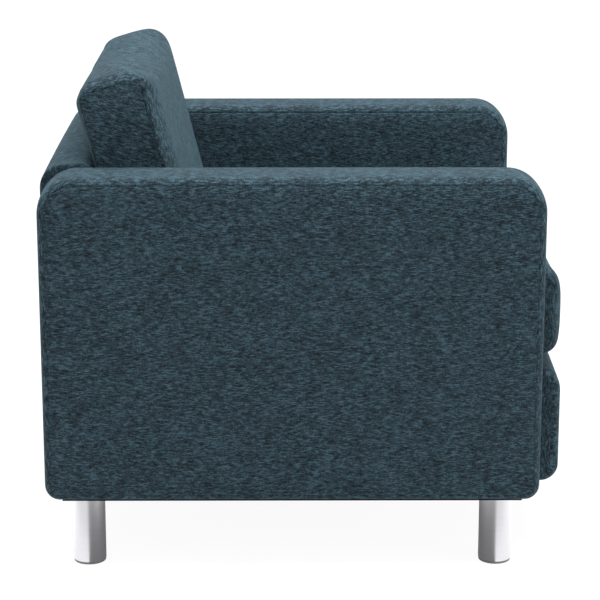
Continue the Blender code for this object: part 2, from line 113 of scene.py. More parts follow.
# %% [markdown]
# ## Chenille
# The cover is polyester chenille: fat, fuzzy yarns laid side by side, each dyed unevenly so that darker
# and lighter slubs a few millimetres long run along it. The eye sees short streaks, a soft mottle a couple
# of centimetres wide, and a pale bloom where the pile is seen from the side.
# It could be drawn as a woven pattern with a Wave texture, but rows that are all alike look printed. Here
# the row number picks its own stretch of noise, so that no two yarns match. The pattern reads the piece's
# own UV map, measured in metres, with U along the yarn: the streaks then turn with each cut panel.

# %% The chenille cover
YARN_PITCH = 0.0015
STRIP_YARN = 0.6  # the strips are pulled along their length, which spreads their yarns apart
SLUB_LENGTH = 0.0110
FUZZ_SIZE = 0.0011
CLUMP_LENGTH = 0.015
CLUMP_WIDTH = 0.0070
MOTTLE_SIZE = 0.050
SLUB_SHARE, FUZZ_SHARE, CLUMP_SHARE, MOTTLE_SHARE = 1.55, 0.90, 0.26, 0.16


def chenille():
    """Streaks = noise along the yarn, shifted for each row; mottle = wide noise; height = round yarns."""
    material, tree, shader = finish_named(
        "chenille_polyester_woven",
        Roughness=0.92,
        Sheen_Weight=0.14,
        Sheen_Roughness=0.40,
        Sheen_Tint=linear("#86BACB"),
        Specular_IOR_Level=0.2,
    )
    weave = put(tree, "UVMap", uv_map="weave").outputs["UV"]
    axes = put(tree, "SeparateXYZ", {0: weave})
    along, across = axes.outputs[0], axes.outputs[1]

    waver = put(tree, "TexNoise", {"Vector": weave, "Scale": 1 / 0.030, "Detail": 1.0}, noise_dimensions="2D")
    shift = maths(tree, "MULTIPLY_ADD", waver.outputs[0], YARN_PITCH * 0.25, across)
    rows = maths(tree, "DIVIDE", shift, YARN_PITCH)
    row = maths(tree, "FLOOR", rows)
    lot = put(tree, "TexWhiteNoise", {"W": row}, noise_dimensions="1D").outputs["Value"]

    run = maths(tree, "DIVIDE", along, SLUB_LENGTH)
    start = maths(tree, "MULTIPLY_ADD", lot, 97.0, run)
    place = put(tree, "CombineXYZ", {0: start, 1: maths(tree, "MULTIPLY", row, 0.61)})
    slub = put(
        tree,
        "TexNoise",
        {"Vector": place.outputs[0], "Scale": 1.0, "Detail": 3.0, "Roughness": 0.7},
        noise_dimensions="2D",
    ).outputs[0]
    fuzz = put(
        tree, "TexNoise", {"Vector": weave, "Scale": 1 / FUZZ_SIZE, "Detail": 2.0}, noise_dimensions="2D"
    ).outputs[0]
    stretch = (1 / CLUMP_LENGTH, 1 / CLUMP_WIDTH, 1.0)
    wide = put(tree, "VectorMath", {0: weave, 1: stretch}, operation="MULTIPLY").outputs[0]
    clump = put(
        tree, "TexNoise", {"Vector": wide, "Scale": 1.0, "Detail": 1.0, "Roughness": 0.5}, noise_dimensions="2D"
    ).outputs[0]
    mottle = put(
        tree, "TexNoise", {"Vector": weave, "Scale": 1 / MOTTLE_SIZE, "Detail": 2.0}, noise_dimensions="2D"
    ).outputs[0]

    tone = maths(tree, "MULTIPLY_ADD", slub, SLUB_SHARE, maths(tree, "MULTIPLY", mottle, MOTTLE_SHARE))
    tone = maths(tree, "MULTIPLY_ADD", fuzz, FUZZ_SHARE, tone)
    tone = maths(tree, "MULTIPLY_ADD", clump, CLUMP_SHARE, tone)
    middle = 0.5 * (SLUB_SHARE + MOTTLE_SHARE + FUZZ_SHARE + CLUMP_SHARE)
    tone = maths(tree, "ADD", tone, 0.53 - middle)
    colour = ramp(
        tree, tone, ((0.20, "#091217"), (0.40, "#16232A"), (0.52, "#203038"), (0.64, "#2B3E47"), (0.84, "#3C545F"))
    )
    round_yarn = maths(tree, "SINE", maths(tree, "MULTIPLY", maths(tree, "FRACT", rows), math.pi))
    height = maths(tree, "MULTIPLY", round_yarn, maths(tree, "MULTIPLY_ADD", slub, 1.2, 0.1))
    height = maths(tree, "MULTIPLY_ADD", fuzz, 0.7, height)
    relief = put(tree, "Bump", {"Height": height, "Strength": 0.55, "Distance": 0.0010})
    tree.links.new(colour, shader.inputs["Base Color"])
    tree.links.new(relief.outputs[0], shader.inputs["Normal"])
    return material


COVER = chenille()
print("made", COVER.name, "with", len(COVER.node_tree.nodes), "nodes")

# %% [markdown]
# ## Outlines with round corners
# The arms and both cushions are boxed: two flat panels with the same outline, and a strip sewn round the
# edge between them. The outline lies in the YZ plane. Each corner is an arc whose centre is on the
# corner's bisector, and each of the four sides runs from the middle of one arc to the middle of the next,
# so that the four sides can also frame a regular grid over the panel.


# %% Outline functions
def unit(vectors):
    """Vectors divided by their own lengths."""
    return vectors / np.linalg.norm(vectors, axis=-1, keepdims=True)


def run_length(path):
    """Distance along a path at each of its points: the running sum of its steps."""
    steps = np.linalg.norm(np.diff(path, axis=0), axis=1)
    return np.concatenate([[0.0], np.cumsum(steps)])


def resample(values, run, at):
    """Each column of values, read off at the distances in at."""
    return np.stack([np.interp(at, run, column) for column in values.T], axis=1)


def corner_arc(before, corner, after, radius, steps=16):
    """Arc = centre + radius * direction, the direction turning evenly from one edge's normal to the other's."""
    to_before, to_after = unit(before - corner), unit(after - corner)
    half = 0.5 * np.arccos(np.clip(to_before @ to_after, -1.0, 1.0))
    centre = corner + unit(to_before + to_after) * radius / np.sin(half)
    first = unit(corner + to_before * radius / np.tan(half) - centre)
    last = unit(corner + to_after * radius / np.tan(half) - centre)
    turn = math.pi - 2 * half
    t = np.linspace(0.0, 1.0, steps + 1)[:, None]
    out = (np.sin((1 - t) * turn) * first + np.sin(t * turn) * last) / np.sin(turn)
    return centre + radius * out, out


def outline_sides(corners, counts):
    """Points and outward normals of the four sides of a rounded outline of (y, z, radius) corners."""
    places = [np.array(c[:2], float) for c in corners]
    arcs = [
        corner_arc(places[i - 1], places[i], places[(i + 1) % 4], corners[i][2]) for i in range(4)
    ]
    sides = []
    for i, count in enumerate(counts):
        (points_a, out_a), (points_b, out_b) = arcs[i], arcs[(i + 1) % 4]
        middle = len(points_a) // 2
        path = np.vstack([points_a[middle:], points_b[: middle + 1]])
        out = np.vstack([out_a[middle:], out_b[: middle + 1]])
        run = run_length(path)
        at = np.linspace(0.0, run[-1], count + 1)
        sides.append((resample(path, run, at), unit(resample(out, run, at))))
    return sides


def framed_grid(bottom, rear, top, front):
    """Coons patch: the two ruled surfaces between opposite sides, added, less the corners' own patch."""
    u = np.linspace(0.0, 1.0, len(bottom))[:, None, None]
    v = np.linspace(0.0, 1.0, len(rear))[None, :, None]
    ruled_z = (1 - v) * bottom[:, None] + v * top[::-1][:, None]
    ruled_y = (1 - u) * front[::-1][None] + u * rear[None]
    corners = (
        (1 - u) * (1 - v) * bottom[0] + u * (1 - v) * bottom[-1] + (1 - u) * v * top[-1] + u * v * top[0]
    )
    return ruled_z + ruled_y - corners


# %% [markdown]
# ## From arrays to a mesh
# Every shape below is a grid of points. One function puts any number of grids into one mesh, closes the
# joins between them, points the faces outwards and writes the UV map. The UVs are kept per corner, so
# two panels that share a seam keep their own direction of weave.


# %% Mesh functions
def mesh_from_grids(name, grids, material):
    """Quads between neighbouring rows and columns of each (points, uv) grid, merged where grids touch."""
    points, faces, uvs, base = [], [], [], 0
    for place, weave in grids:
        rows, columns = place.shape[:2]
        index = base + np.arange(rows * columns).reshape(rows, columns)
        quads = np.stack([index[:-1, :-1], index[1:, :-1], index[1:, 1:], index[:-1, 1:]], axis=-1)
        faces.append(quads.reshape(-1, 4))
        points.append(place.reshape(-1, 3))
        uvs.append(weave.reshape(-1, 2))
        base += rows * columns
    points, faces, uvs = np.vstack(points), np.vstack(faces), np.vstack(uvs)
    mesh = bpy.data.meshes.new(name)
    mesh.from_pydata(points.tolist(), [], faces.tolist())
    layer = mesh.uv_layers.new(name="weave")
    layer.data.foreach_set("uv", uvs[faces.ravel()].astype(np.float32).ravel())
    bm = bmesh.new()
    bm.from_mesh(mesh)
    bmesh.ops.remove_doubles(bm, verts=bm.verts, dist=0.00002)
    bmesh.ops.recalc_face_normals(bm, faces=bm.faces)
    bm.to_mesh(mesh)
    bm.free()
    mesh.shade_smooth()
    mesh.materials.append(material)
    obj = bpy.data.objects.new(name, mesh)
    bpy.context.scene.collection.objects.link(obj)
    return obj


def coordinates(obj):
    """The mesh's points as an array of rows (x, y, z)."""
    flat = np.zeros(len(obj.data.vertices) * 3, np.float32)
    obj.data.vertices.foreach_get("co", flat)
    return flat.reshape(-1, 3).astype(float)


def set_coordinates(obj, points):
    """Puts an array of points back into the mesh."""
    obj.data.vertices.foreach_set("co", points.astype(np.float32).ravel())
    obj.data.update()


def ripple(points, size, seed, octaves=3):
    """Smooth noise from -1 to 1: a sum of sines with fixed random directions, each octave twice as fine."""
    rng = np.random.default_rng(seed)
    total = np.zeros(len(points))
    for octave in range(octaves):
        for _ in range(4):
            direction = unit(rng.normal(size=3)) * 2 * math.pi / (size / 2**octave)
            total += np.sin(points @ direction + rng.uniform(0, 2 * math.pi)) / 2**octave
    return total / 4


# %% [markdown]
# ## A boxed cover
# The section through a boxed cover goes from one panel, over the seam, round the strip and over the other
# seam to the second panel. Three things make it read as sewn cloth over foam:
# the panel swells off the seam and soon goes flat, the strip rolls over at its edges and is a little
# crowned in the middle, and at the seam both sides dive into a valley with steep walls.


# %% Boxed cover function
SEAM_REACH = 0.0026  # how far from the stitching the cloth starts to turn in
SEAM_STEPS = (0.0, 0.08, 0.22, 0.42, 0.68, 1.0)


def seam_dip(distance, depth):
    """Depth of the valley: depth * (1 - sqrt(1 - (1 - distance / reach) squared)), and 0 beyond the reach."""
    closeness = 1 - np.clip(distance / SEAM_REACH, 0.0, 1.0)
    return depth * (1 - np.sqrt(np.clip(1 - closeness**2, 0.0, 1.0)))


def rise(distance, reach):
    """Swell off a line: 0 on it, and nearly 1 a few reaches away."""
    return 1 - np.exp(-np.clip(distance, 0.0, None) / reach)


def tightness(out, fit):
    """(inset of the roll, depth of the seam) where the outline faces out: rear sides are drawn tighter."""
    rearward = np.clip(out[:, 0], 0.0, 1.0) ** 2
    inset = fit["edge_inset"] * (1 - fit["rear_tight"] * rearward)
    return inset, fit["seam_depth"] * (1 - fit["front_fade"] * (1 - rearward))


def boxed_cover(name, corners, x_low, x_high, fit):
    """Two panels and the strip between them.

    Ring point = outline point - outward normal * inset, at the section's own x. The strip's edge is a
    quarter ellipse, inset = edge_inset * (1 - cos a), x = edge_width * sin a, and its crown falls off with
    the square of x. A panel's x is its seam plane, less the seam valley, plus swell * rise from each side.
    """
    spacing = fit["spacing"]
    middle, half = (x_low + x_high) / 2, (x_high - x_low) / 2 - fit["swell"]
    lengths = [math.dist(corners[i][:2], corners[(i + 1) % 4][:2]) for i in range(4)]
    along_y = round(max(lengths[0], lengths[2]) / spacing)
    along_z = round(max(lengths[1], lengths[3]) / spacing)
    sides = outline_sides(corners, (along_y, along_z, along_y, along_z))
    ring = np.vstack([points[:-1] for points, _ in sides] + [sides[0][0][:1]])
    out = np.vstack([normals[:-1] for _, normals in sides] + [sides[0][1][:1]])
    run = run_length(ring)

    turn = np.linspace(math.pi / 2, 0.0, 8)
    flat_half = half - fit["edge_width"]
    columns = max(4, round(2 * flat_half / fit["column"]))
    flat = np.linspace(-flat_half, flat_half, columns + 1)[1:-1]
    left_x = -flat_half - fit["edge_width"] * np.sin(turn)
    left_inset = 1 - np.cos(turn)
    fine = np.array(SEAM_STEPS[1:]) * SEAM_REACH
    left_run = run_length(np.stack([left_x, fit["edge_inset"] * left_inset], axis=1))
    at = np.concatenate([[0.0], fine, left_run[left_run > SEAM_REACH * 1.2]])
    left_x, left_inset = (np.interp(at, left_run, values) for values in (left_x, left_inset))
    strip_x = np.concatenate([left_x, flat, -left_x[::-1]])
    inset = np.concatenate([left_inset, np.zeros(len(flat)), left_inset[::-1]])
    strip_run = run_length(np.stack([strip_x, fit["edge_inset"] * inset], axis=1))
    dip = seam_dip(np.minimum(strip_run, strip_run[-1] - strip_run), 1.0)
    roll, depth_round = tightness(out, fit)
    inset = inset[:, None] * roll[None] - fit["crown"] * (1 - (strip_x / half) ** 2)[:, None]

    place = np.empty((len(strip_x), len(ring), 3))
    place[..., 0] = middle + strip_x[:, None] - np.sign(strip_x)[:, None] * dip[:, None] * depth_round[None]
    place[..., 1:] = ring[None] - out[None] * inset[..., None]
    weave = np.empty(place.shape[:2] + (2,))
    weave[..., 0] = run[None]
    weave[..., 1] = STRIP_YARN * strip_run[:, None]
    grids = [(place, weave)]

    seam = ring - out * roll[:, None]
    low, high = seam.min(axis=0), seam.max(axis=0)
    steps = np.concatenate([np.array(SEAM_STEPS) * SEAM_REACH, [0.0042, 0.0062]])
    turned = fit.get("weave_turn", 0.0)
    spin = np.array([[math.cos(turned), -math.sin(turned)], [math.sin(turned), math.cos(turned)]])

    def panel(flat_points, valley, side):
        """One panel's grid from its (y, z) points and the depth of the seam's valley there."""
        lift = np.ones(flat_points.shape[:2])
        for axis in (0, 1):
            lift *= rise(flat_points[..., axis] - low[axis], fit["reach"])
            lift *= rise(high[axis] - flat_points[..., axis], fit["reach"])
        placed = np.empty(flat_points.shape[:2] + (3,))
        depth = half - valley + fit["swell"] * lift
        placed[..., 0] = middle + side * depth
        placed[..., 1:] = flat_points
        return placed, flat_points @ spin

    band = ring[None] - out[None] * (roll[None] + steps[:, None])[..., None]
    inner = framed_grid(
        *[points - normals * (tightness(normals, fit)[0] + steps[-1])[:, None] for points, normals in sides]
    )
    for side in (-1, 1):
        grids.append(panel(band, seam_dip(steps[:, None], 1.0) * depth_round[None], side))
        grids.append(panel(inner, 0.0, side))

    obj = mesh_from_grids(name, grids, COVER)
    points = coordinates(obj)
    seam_distance = np.abs(np.abs(points[:, 0] - middle) - half)
    print(name, "has", len(obj.data.polygons), "faces; closest point to a seam", round(seam_distance.min(), 5))
    return obj


# %% [markdown]
# ## The two arms
# Each arm is a slab with a large radius at the front of its top edge. The cover has an outer and an
# inner panel, and one long strip that goes up the front, over the top and down the rear. The panels are
# stretched over a thin sheet of foam, so they are flat but for their rims.

# %% Make the arms
ARM_CROWN = 0.0025
ARM_FIT = {
    "spacing": 0.0055,
    "column": 0.008,
    "swell": 0.0055,
    "reach": 0.011,
    "edge_width": 0.016,
    "edge_inset": 0.0100,
    "rear_tight": 0.0,
    "crown": ARM_CROWN,
    "seam_depth": 0.0008,
    "front_fade": 0.0,
}
UNDER_CLOTH = 0.0008  # the cloth that is turned under the timber
ARM_RADII = (0.022, 0.022, 0.056, 0.054)  # front bottom, rear bottom, rear top, front top


def arm_corners(low, high):
    """The arm's outline, drawn inside the frame's box by the crown of the strip."""
    front, rear = low[1] + ARM_CROWN, high[1] - ARM_CROWN
    bottom, top = low[2] - UNDER_CLOTH, high[2] - ARM_CROWN
    places = ((front, bottom), (rear, bottom), (rear, top), (front, top))
    return [(y, z, radius) for (y, z), radius in zip(places, ARM_RADII)]


def finish_piece(obj, body, replaced=()):
    """Rides obj on its body and hides the plain solids that it stands for."""
    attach(obj, body)
    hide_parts(*replaced)
    return obj


for hand in ("left", "right"):
    low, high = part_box("arm_cover_" + hand)
    arm = boxed_cover("arm_upholstery_" + hand, arm_corners(low, high), low[0], high[0], ARM_FIT)
    points = coordinates(arm)
    uneven = ripple(points, 0.16, seed=11 if hand == "left" else 12)
    inside = np.clip((np.minimum(points[:, 2] - low[2], high[2] - points[:, 2])) / 0.03, 0.0, 1.0)
    points[:, 0] += 0.0006 * uneven * inside
    set_coordinates(arm, points)
    finish_piece(arm, "chair", ["arm_cover_" + hand])

# %% [markdown]
# ## Back, front rail and deck
# Between the arms the cover is one wide length of cloth carried over an edge: up the inside of the back,
# over its top and down the outside, and in front from the deck over the rail and under it. Each is an
# outline in the YZ plane carried across the chair and rolled inwards at both ends. In front that roll is
# wide, because the same cloth turns the corner and runs back to the arm.


# %% Closed form function
def closed_form(name, corners, half_width, crown, end_roll, material, spacing=0.005):
    """A closed outline carried across the chair, with rolled ends and flat end caps.

    Point = outline + normal * (crown * (1 - (x / half) squared) - fall), where fall is a quarter circle of
    radius end_roll over the last end_roll of the width. Each cap shrinks the end outline to its centre.
    """
    places = [np.array(c[:2], float) for c in corners]
    count = len(places)
    arcs = [corner_arc(places[i - 1], places[i], places[(i + 1) % count], corners[i][2]) for i in range(count)]
    path = np.vstack([points for points, _ in arcs] + [arcs[0][0][:1]])
    out = np.vstack([normals for _, normals in arcs] + [arcs[0][1][:1]])
    run = run_length(path)
    at = np.unique(np.concatenate([run, np.linspace(0.0, run[-1], round(run[-1] / spacing))]).round(6))
    path, out = resample(path, run, at), unit(resample(out, run, at))
    x = np.linspace(-half_width, half_width, round(2 * half_width / 0.008) + 1)
    ends = half_width - end_roll * (1 - np.sin(np.linspace(0.0, math.pi / 2, 9)))
    x = np.unique(np.concatenate([x[np.abs(x) < half_width - end_roll], -ends, ends]))
    over = np.clip((np.abs(x) - (half_width - end_roll)) / end_roll, 0.0, 1.0)
    fall = end_roll * (1 - np.sqrt(np.clip(1 - over**2, 0.0, 1.0)))
    lift = crown * (1 - (x / half_width) ** 2) - fall
    skin = np.empty((len(x), len(path), 3))
    skin[..., 0] = x[:, None]
    skin[..., 1:] = path[None] + out[None] * lift[:, None, None]
    weave = np.empty(skin.shape[:2] + (2,))
    weave[..., 0] = at[None]
    weave[..., 1] = STRIP_YARN * x[:, None]
    grids = [(skin, weave)]
    share = np.array([1.0, 0.9, 0.7, 0.4, 0.0])[:, None, None]
    for end in (0, -1):
        rim = skin[end]
        cap = rim.mean(axis=0) + share * (rim - rim.mean(axis=0))
        cap[..., 0] += np.sign(rim[0, 0]) * 0.15 * end_roll * (1 - share[..., 0] ** 2)
        grids.append((cap, cap[..., 2:0:-1]))
    obj = mesh_from_grids(name, grids, material)
    print(name, "has an outline of", round(float(at[-1]), 3), "m")
    return obj


# %% Make the back
LEAN = math.radians(14.3)
back_low, back_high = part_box("back_cover")
LEAN_RUN = 0.0766  # depth of the back's top
slope = math.tan(LEAN)
back_front_y = back_high[1] - LEAN_RUN
foot_z = 0.300
foot_y = back_front_y - slope * (back_high[2] - foot_z)
back_outline = (
    (foot_y, foot_z, 0.004),
    (0.2600, foot_z - 0.012, 0.004),
    (0.2600, back_low[2], 0.004),
    (back_high[1] - 0.001, back_low[2], 0.012),
    (back_high[1] - 0.001, back_high[2] - 0.001, 0.038),
    (back_front_y, back_high[2] - 0.001, 0.020),
)
TUCK = 0.004  # how far the cloth is pressed into the arms
back = closed_form("back_upholstery", back_outline, back_high[0] + TUCK, 0.001, 0.004, COVER)
finish_piece(back, "chair", ["back_cover"])

# %% Make the front rail pad
rail_low, rail_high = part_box("front_rail_cover")
RAIL_TUCK = 0.006
rail_outline = (
    (rail_low[1] + 0.001, rail_low[2] + 0.001, 0.028),
    (rail_high[1], rail_low[2] + 0.001, 0.003),
    (rail_high[1], rail_high[2] - 0.001, 0.003),
    (rail_low[1] + 0.001, rail_high[2] - 0.001, 0.048),
)
rail_pad = closed_form("front_rail_upholstery", rail_outline, rail_high[0] + RAIL_TUCK, 0.001, 0.014, COVER)
finish_piece(rail_pad, "chair", ["front_rail_cover"])

# %% [markdown]
# ## Finishes inside the chair
# The frame is sawn pine, left rough; the springs, bolts and plates are zinc-plated steel; the straps are
# jute and elastic webbing. Little of it shows, but each piece keeps a finish of its own. They read Object
# coordinates, because these pieces have no UV map and never move on their own origin.

# %% Pine
RING_WIDTH = 0.004


def pine():
    """Rings = bent planes RING_WIDTH apart; fine fibre noise is stretched forty times along Y."""
    material, tree, shader = finish_named("pine_sawn_untreated", Roughness=0.75, IOR=1.5)
    place = put(tree, "TexCoord").outputs["Object"]
    bend = put(tree, "TexNoise", {"Vector": place, "Scale": 1 / 0.12, "Detail": 1.0}).outputs["Color"]
    bent = put(tree, "VectorMath", {0: bend, 1: (0.05, 0.02, 0.05), 2: place}, operation="MULTIPLY_ADD")
    rings = put(
        tree,
        "TexWave",
        {"Vector": bent.outputs[0], "Scale": 0.314 / RING_WIDTH, "Distortion": 0.6},
        wave_type="BANDS",
        bands_direction="DIAGONAL",
    ).outputs[1]
    long_way = put(tree, "Mapping", {"Vector": place, "Scale": (1 / 0.0006, 1 / 0.024, 1 / 0.0006)}).outputs[0]
    fibre = put(tree, "TexNoise", {"Vector": long_way, "Scale": 1.0, "Detail": 3.0}).outputs[0]
    tone = maths(tree, "MULTIPLY_ADD", rings, 0.55, maths(tree, "MULTIPLY", fibre, 0.45))
    colour = ramp(tree, tone, ((0.2, "#DDBE8E"), (0.6, "#CBA36C"), (0.9, "#A97C48")))
    relief = put(tree, "Bump", {"Height": fibre, "Strength": 0.4, "Distance": 0.0003})
    tree.links.new(colour, shader.inputs["Base Color"])
    tree.links.new(relief.outputs[0], shader.inputs["Normal"])
    return material


# %% Zinc-plated steel
def zinc_steel():
    """Bluish bright metal with a faint mottle of crystals a few millimetres wide in its roughness."""
    material, tree, shader = finish_named("steel_zinc_plated", Metallic=1.0)
    place = put(tree, "TexCoord").outputs["Object"]
    crystals = put(tree, "TexVoronoi", {"Vector": place, "Scale": 1 / 0.003}).outputs["Color"]
    grey = put(tree, "RGBToBW", {0: crystals}).outputs[0]
    rough = put(tree, "MapRange", {0: grey, 3: 0.28, 4: 0.42})
    tree.links.new(ramp(tree, grey, ((0.2, "#A9ADB2"), (0.8, "#BCC0C4"))), shader.inputs["Base Color"])
    tree.links.new(rough.outputs[0], shader.inputs["Roughness"])
    return material


# %% Webbing and zip tape
def woven_tape(name, dark, light, pitch):
    """A plain weave of two crossed sets of threads, pitch apart, drawn by the product of two sines."""
    material, tree, shader = finish_named(name, Roughness=0.85)
    place = put(tree, "TexCoord").outputs["Object"]
    axes = put(tree, "SeparateXYZ", {0: place})
    warp = maths(tree, "SINE", maths(tree, "MULTIPLY", axes.outputs[0], math.pi / pitch))
    weft = maths(tree, "SINE", maths(tree, "MULTIPLY", axes.outputs[2], math.pi / pitch))
    over = maths(tree, "MULTIPLY_ADD", maths(tree, "MULTIPLY", warp, weft), 0.5, 0.5)
    fuzz = put(tree, "TexNoise", {"Vector": place, "Scale": 1 / 0.001, "Detail": 2.0}).outputs[0]
    tone = maths(tree, "MULTIPLY_ADD", fuzz, 0.4, maths(tree, "MULTIPLY", over, 0.6))
    relief = put(tree, "Bump", {"Height": over, "Strength": 0.5, "Distance": 0.0004})
    tree.links.new(ramp(tree, tone, ((0.2, dark), (0.8, light))), shader.inputs["Base Color"])
    tree.links.new(relief.outputs[0], shader.inputs["Normal"])
    return material


# %% Give the frame its finishes
PINE = pine()
STEEL = zinc_steel()
WEBBING = woven_tape("elastic_webbing_woven", "#1B1A18", "#57524A", 0.0018)
ZIP_TAPE = woven_tape("nylon_zip_tape_woven", "#12171B", "#2C353B", 0.0010)
FRAME_FINISHES = {"timber": PINE, "steel": STEEL, "webbing": WEBBING, "nylon": ZIP_TAPE}
node_slots = {entry["node"]: entry["material_slot"] for entry in frame["record"]["subparts"]}
dressed = 0
for node_name, node in frame["nodes"].items():
    finish = FRAME_FINISHES.get(node_slots.get(node_name))
    if finish:
        node.data.materials.clear()
        node.data.materials.append(finish)
        dressed += 1
print(dressed, "frame pieces have their finish")

# %% [markdown]
# ## Black lining cloth
# What nobody sees is covered in spunbond lining, a thin black felt of melted fibres with a fine grid of
# weld points. It covers the deck under the seat cushion and closes the chair from below, where it is
# folded over at its edges and stapled every few centimetres.

# %% Lining finish
WELD_PITCH = 0.0030


def lining():
    """Black fibres, with round weld points on a square grid: smooth minima of the distance to its centres."""
    material, tree, shader = finish_named("polypropylene_spunbond_lining", Roughness=0.85, IOR=1.49)
    weave = put(tree, "UVMap", uv_map="weave").outputs["UV"]
    cells = put(tree, "TexVoronoi", {"Vector": weave, "Scale": 1 / WELD_PITCH, "Randomness": 0.0})
    cells.voronoi_dimensions = "2D"
    fibres = put(tree, "TexNoise", {"Vector": weave, "Scale": 1 / 0.004, "Detail": 4.0, "Distortion": 1.5})
    points = put(tree, "MapRange", {0: cells.outputs["Distance"], 1: 0.15, 2: 0.32})
    height = maths(tree, "MULTIPLY_ADD", fibres.outputs[0], 0.4, points.outputs[0])
    relief = put(tree, "Bump", {"Height": height, "Strength": 0.5, "Distance": 0.0002})
    tone = ramp(tree, fibres.outputs[0], ((0.3, "#17181A"), (0.7, "#26272A")))
    tree.links.new(tone, shader.inputs["Base Color"])
    tree.links.new(relief.outputs[0], shader.inputs["Normal"])
    return material


LINING = lining()

# %% Deck
deck_low, deck_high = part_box("deck_pad")
deck_outline = (
    (deck_low[1], deck_low[2], 0.003),
    (deck_high[1], deck_low[2], 0.003),
    (deck_high[1], deck_high[2] - 0.002, 0.005),
    (deck_low[1], deck_high[2] - 0.002, 0.005),
)
deck = closed_form("deck_platform", deck_outline, deck_high[0], 0.0015, 0.003, LINING)
finish_piece(deck, "chair", ["deck_pad"])


# %% Sheets of lining
def lining_sheet(name, x_low, x_high, y_low, y_high, z, sag, hold):
    """Height = z - sag * (1 - s squared) * (1 - hold * t squared), where s and t run from -1 to 1."""
    x = np.linspace(x_low, x_high, round((x_high - x_low) / 0.01) + 1)
    y = np.linspace(y_low, y_high, round((y_high - y_low) / 0.01) + 1)
    s, t = np.linspace(-1.0, 1.0, len(x)), np.linspace(-1.0, 1.0, len(y))
    place = np.empty((len(x), len(y), 3))
    place[..., 0], place[..., 1] = x[:, None], y[None]
    place[..., 2] = z - sag * (1 - s[:, None] ** 2) * (1 - hold * t[None] ** 2)
    obj = mesh_from_grids(name, [(place, place[..., :2].copy())], LINING)
    if obj.data.polygons[0].normal.z > 0:
        obj.data.flip_normals()
    thick = obj.modifiers.new("cloth", "SOLIDIFY")
    thick.thickness = 0.0004
    thick.offset = 1.0
    return obj


dust_low, dust_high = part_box("dust_cover")
dust = lining_sheet(
    "dust_cover_sheet", dust_low[0], dust_high[0], dust_low[1], dust_high[1], dust_low[2] + 0.0012, 0.0012, 1.0
)
finish_piece(dust, "chair", ["dust_cover"])

# %% Lining under each arm
HEM = 0.014
low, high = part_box("arm_cover_left")
lining_half = 0.5 * (high[0] - low[0]) - HEM
strip_half = 0.5 * (high[0] - low[0]) - ARM_FIT["swell"]
hem_share = (lining_half / strip_half) ** 2
under_z = low[2] - UNDER_CLOTH - ARM_CROWN * (1 - hem_share) - 0.0006
for hand in ("left", "right"):
    low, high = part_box("arm_cover_" + hand)
    under = lining_sheet(
        "arm_lining_" + hand, low[0] + HEM, high[0] - HEM, low[1] + 2 * HEM, high[1] - 2 * HEM, under_z,
        ARM_CROWN * hem_share, 0.0,
    )
    finish_piece(under, "chair")


# %% [markdown]
# ## Staples
# A staple is one flattened wire bridge pressed into the lining. All of them are one mesh: the same small
# rounded bar, moved to each place along the hem by adding an array of places to an array of points.


# %% Staples round the linings
def staples(name, spots, turns, z):
    """Bar = half superellipse of 10 by 1 by 0.5 mm; each copy is the bar turned by its angle and moved."""
    u = np.linspace(0.0, np.pi, 7)
    v = np.linspace(0.0, 2 * np.pi, 9)
    bar = np.empty((len(u), len(v), 3))
    soft = np.sign(np.cos(u)) * np.abs(np.cos(u)) ** 0.35
    bar[..., 0] = 0.005 * soft[:, None]
    bar[..., 1] = 0.0005 * (np.sin(u) ** 0.4)[:, None] * np.cos(v)
    bar[..., 2] = 0.0003 * (np.sin(u) ** 0.4)[:, None] * np.sin(v)
    grids = []
    for (x, y), turn in zip(spots, turns):
        placed = bar.copy()
        placed[..., 0] = x + bar[..., 0] * np.cos(turn) - bar[..., 1] * np.sin(turn)
        placed[..., 1] = y + bar[..., 0] * np.sin(turn) + bar[..., 1] * np.cos(turn)
        placed[..., 2] += z
        grids.append((placed, placed[..., :2].copy()))
    return mesh_from_grids(name, grids, STEEL)


def hem_spots(x_low, x_high, y_low, y_high, gap=0.045, inset=0.006):
    """Places every gap or so along the four edges of a rectangle, a little inside it, and their angles."""
    rng = np.random.default_rng(5)
    xs = np.linspace(x_low + inset, x_high - inset, max(2, round((x_high - x_low) / gap)))
    ys = np.linspace(y_low + inset, y_high - inset, max(2, round((y_high - y_low) / gap)))
    spots = [(x, y) for y in (y_low + inset, y_high - inset) for x in xs]
    spots += [(x, y) for x in (x_low + inset, x_high - inset) for y in ys[1:-1]]
    turns = [0.0] * (2 * len(xs)) + [math.pi / 2] * (2 * (len(ys) - 2))
    return spots, np.array(turns) + rng.normal(0.0, 0.12, len(turns))


under_spots = hem_spots(dust_low[0], dust_high[0], dust_low[1], dust_high[1])
finish_piece(staples("dust_cover_staples", *under_spots, dust_low[2] + 0.0006), "chair")
for hand in ("left", "right"):
    low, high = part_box("arm_cover_" + hand)
    arm_spots = hem_spots(low[0] + HEM, high[0] - HEM, low[1] + 2 * HEM, high[1] - 2 * HEM)
    row = staples("arm_lining_staples_" + hand, *arm_spots, under_z - 0.0007)
    finish_piece(row, "chair")

# %% [markdown]
# ## Loose cushions
# Both cushions are boxed foam with a fibre wrap. Their seams are held by the stitching while the cloth
# between them is pushed out by the filling. So the shape comes from a cloth simulation: the seams are
# pinned, the cover is a touch larger than its foam, and air pressure stands for the filling.


